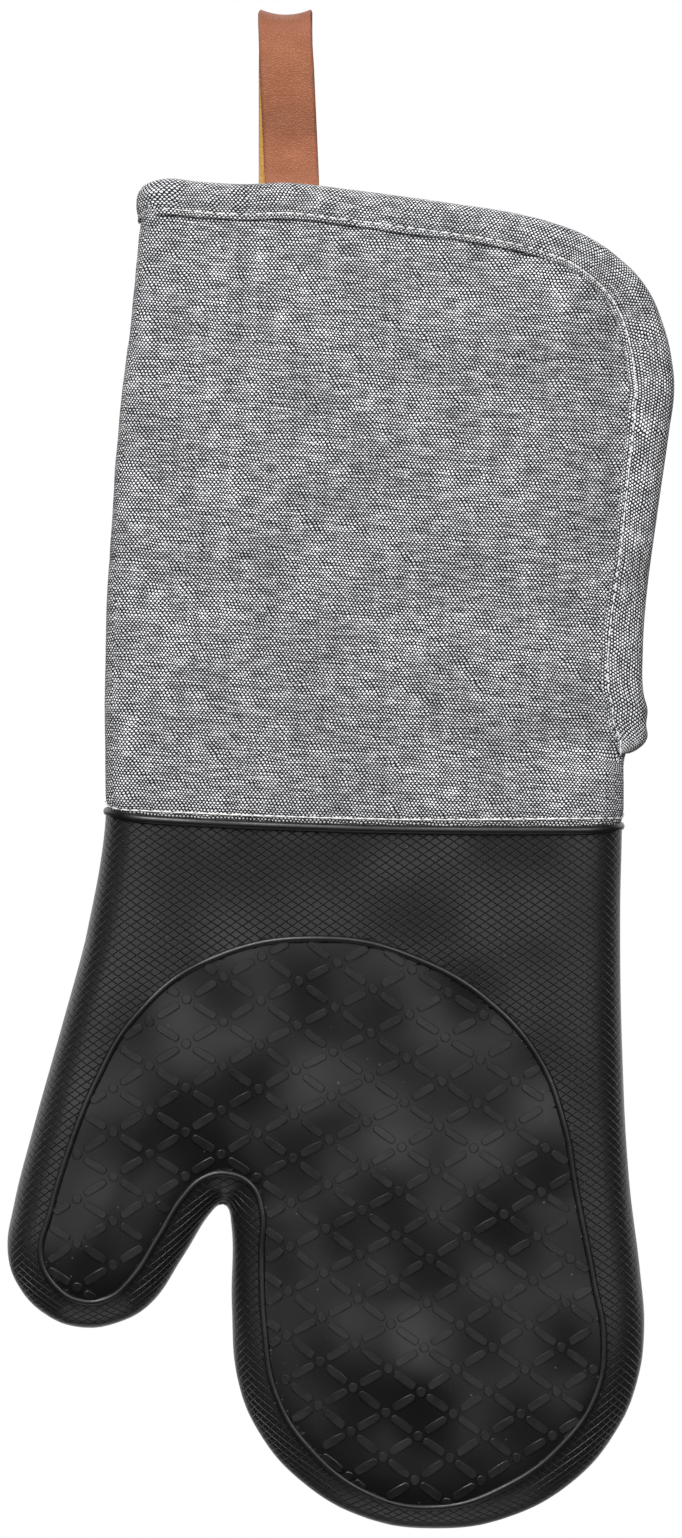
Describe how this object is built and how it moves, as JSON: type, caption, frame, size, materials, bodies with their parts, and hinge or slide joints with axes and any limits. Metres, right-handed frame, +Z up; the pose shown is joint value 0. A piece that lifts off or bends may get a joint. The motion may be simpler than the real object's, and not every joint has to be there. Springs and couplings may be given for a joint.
{
  "type": "oven mitt",
  "caption": "Silicone oven mitt hanging fingers down, with a beaded grip panel, quilted lining bag, padded cloth cuff bound round its mouth and side vent, and a leather hanging loop.",
  "frame": {"origin": "the point inside the top of the hanging loop that rests on a hook, above the middle plane of the mitt", "axes": "+Z up, from fingertips to loop, as it hangs; +X to the right seen from the palm side, away from the thumb; -Y is the palm side that the picture shows"},
  "size_m": [0.1841, 0.0354, 0.4168],
  "materials": {
    "silicone": "semi-matte moulded silicone",
    "chambray": "plain-weave chambray, charcoal and white",
    "lining_cotton": "plain grey cotton",
    "wadding": "needled fibre wadding",
    "thread": "white sewing thread",
    "strap_leather": "grained brown leather, mustard flesh side"
  },
  "bodies": {
    "mitt": {"silicone_shell": "silicone", "hand_wadding_palm": "wadding", "hand_wadding_back": "wadding", "hand_lining_palm": "lining_cotton", "hand_lining_back": "lining_cotton", "cuff_cover_front": "chambray", "cuff_cover_back": "chambray", "cuff_wadding_front": "wadding", "cuff_wadding_back": "wadding", "cuff_lining_front": "lining_cotton", "cuff_lining_back": "lining_cotton", "binding_front": "chambray", "binding_back": "chambray", "binding_stitching_front": "thread", "binding_stitching_back": "thread", "rim_stitching": "thread", "strap_tails": "strap_leather"},
    "loop": {"hang_loop": "strap_leather"}
  },
  "joints": [
    {"name": "loop_swing", "type": "hinge", "parent": "mitt", "child": "loop", "pos_m": [0, 0.00861, -0.0425], "axis": [1, 0, 0], "range_deg": [-90, 65], "stiffness_Nm_per_rad": 0.01}
  ]
}
